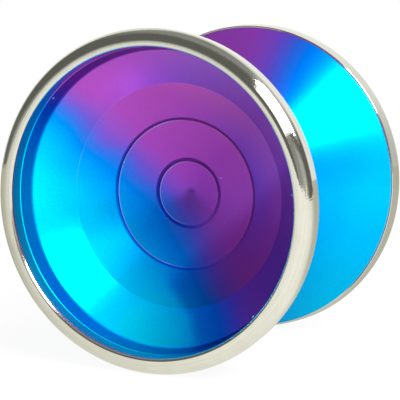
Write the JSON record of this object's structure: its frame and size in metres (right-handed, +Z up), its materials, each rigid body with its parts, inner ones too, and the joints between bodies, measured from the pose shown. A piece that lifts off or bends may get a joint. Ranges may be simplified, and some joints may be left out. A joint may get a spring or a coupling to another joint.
{
  "type": "yo-yo",
  "caption": "Bearing yo-yo: cup-shaped turned halves with steel rim rings on a threaded axle, and a shielded ball bearing between them that carries the string.",
  "frame": {"origin": "centre of the yo-yo: on the spin axis, midway between the outer faces of its two rims", "axes": "+Y along the spin axis, from the front half to the rear half; +Z up; the yo-yo stands on its two rims"},
  "size_m": [0.056, 0.046, 0.056],
  "materials": {
    "front_anodised": "turned, anodised blue to purple",
    "rear_anodised": "turned, anodised blue to purple",
    "rim_steel": "polished stainless steel",
    "axle_steel": "blackened alloy steel",
    "bearing_steel": "ground stainless steel",
    "ball_steel": "polished steel",
    "cage_steel": "stamped steel",
    "shield_steel": "stamped stainless steel",
    "clip_steel": "spring steel",
    "silicone": "satin white silicone"
  },
  "bodies": {
    "halves": {"front_half": "front_anodised", "rear_half": "rear_anodised", "front_rim_ring": "rim_steel", "rear_rim_ring": "rim_steel", "front_response_pad": "silicone", "rear_response_pad": "silicone", "axle": "axle_steel", "bearing_inner_race": "bearing_steel"},
    "outer_race": {"bearing_outer_race": "bearing_steel", "front_shield": "shield_steel", "rear_shield": "shield_steel", "front_shield_clip": "clip_steel", "rear_shield_clip": "clip_steel"},
    "cage": {"ball_cage": "cage_steel"},
    "ball_01_body": {"ball_01": "ball_steel"},
    "ball_02_body": {"ball_02": "ball_steel"},
    "ball_03_body": {"ball_03": "ball_steel"},
    "ball_04_body": {"ball_04": "ball_steel"},
    "ball_05_body": {"ball_05": "ball_steel"},
    "ball_06_body": {"ball_06": "ball_steel"},
    "ball_07_body": {"ball_07": "ball_steel"},
    "ball_08_body": {"ball_08": "ball_steel"},
    "ball_09_body": {"ball_09": "ball_steel"},
    "ball_10_body": {"ball_10": "ball_steel"}
  },
  "joints": [
    {"name": "race_spin", "type": "hinge", "parent": "halves", "child": "outer_race", "pos_m": [0, 0, 0], "axis": [0, 1, 0], "continuous": true},
    {"name": "cage_spin", "type": "hinge", "parent": "halves", "child": "cage", "pos_m": [0, 0, 0], "axis": [0, 1, 0], "continuous": true},
    {"name": "ball_01_spin", "type": "hinge", "parent": "cage", "child": "ball_01_body", "pos_m": [0.00476, 0, 0], "axis": [0, 1, 0], "continuous": true},
    {"name": "ball_02_spin", "type": "hinge", "parent": "cage", "child": "ball_02_body", "pos_m": [0.00385, 0, -0.0028], "axis": [0, 1, 0], "continuous": true},
    {"name": "ball_03_spin", "type": "hinge", "parent": "cage", "child": "ball_03_body", "pos_m": [0.00147, 0, -0.00453], "axis": [0, 1, 0], "continuous": true},
    {"name": "ball_04_spin", "type": "hinge", "parent": "cage", "child": "ball_04_body", "pos_m": [-0.00147, 0, -0.00453], "axis": [0, 1, 0], "continuous": true},
    {"name": "ball_05_spin", "type": "hinge", "parent": "cage", "child": "ball_05_body", "pos_m": [-0.00385, 0, -0.0028], "axis": [0, 1, 0], "continuous": true},
    {"name": "ball_06_spin", "type": "hinge", "parent": "cage", "child": "ball_06_body", "pos_m": [-0.00476, 0, 0], "axis": [0, 1, 0], "continuous": true},
    {"name": "ball_07_spin", "type": "hinge", "parent": "cage", "child": "ball_07_body", "pos_m": [-0.00385, 0, 0.0028], "axis": [0, 1, 0], "continuous": true},
    {"name": "ball_08_spin", "type": "hinge", "parent": "cage", "child": "ball_08_body", "pos_m": [-0.00147, 0, 0.00453], "axis": [0, 1, 0], "continuous": true},
    {"name": "ball_09_spin", "type": "hinge", "parent": "cage", "child": "ball_09_body", "pos_m": [0.00147, 0, 0.00453], "axis": [0, 1, 0], "continuous": true},
    {"name": "ball_10_spin", "type": "hinge", "parent": "cage", "child": "ball_10_body", "pos_m": [0.00385, 0, 0.0028], "axis": [0, 1, 0], "continuous": true}
  ],
  "couplings": [
    {"joint": "cage_spin", "follows": "race_spin", "ratio": 0.58333},
    {"joint": "ball_01_spin", "follows": "race_spin", "ratio": 2.9167},
    {"joint": "ball_02_spin", "follows": "race_spin", "ratio": 2.9167},
    {"joint": "ball_03_spin", "follows": "race_spin", "ratio": 2.9167},
    {"joint": "ball_04_spin", "follows": "race_spin", "ratio": 2.9167},
    {"joint": "ball_05_spin", "follows": "race_spin", "ratio": 2.9167},
    {"joint": "ball_06_spin", "follows": "race_spin", "ratio": 2.9167},
    {"joint": "ball_07_spin", "follows": "race_spin", "ratio": 2.9167},
    {"joint": "ball_08_spin", "follows": "race_spin", "ratio": 2.9167},
    {"joint": "ball_09_spin", "follows": "race_spin", "ratio": 2.9167},
    {"joint": "ball_10_spin", "follows": "race_spin", "ratio": 2.9167}
  ]
}
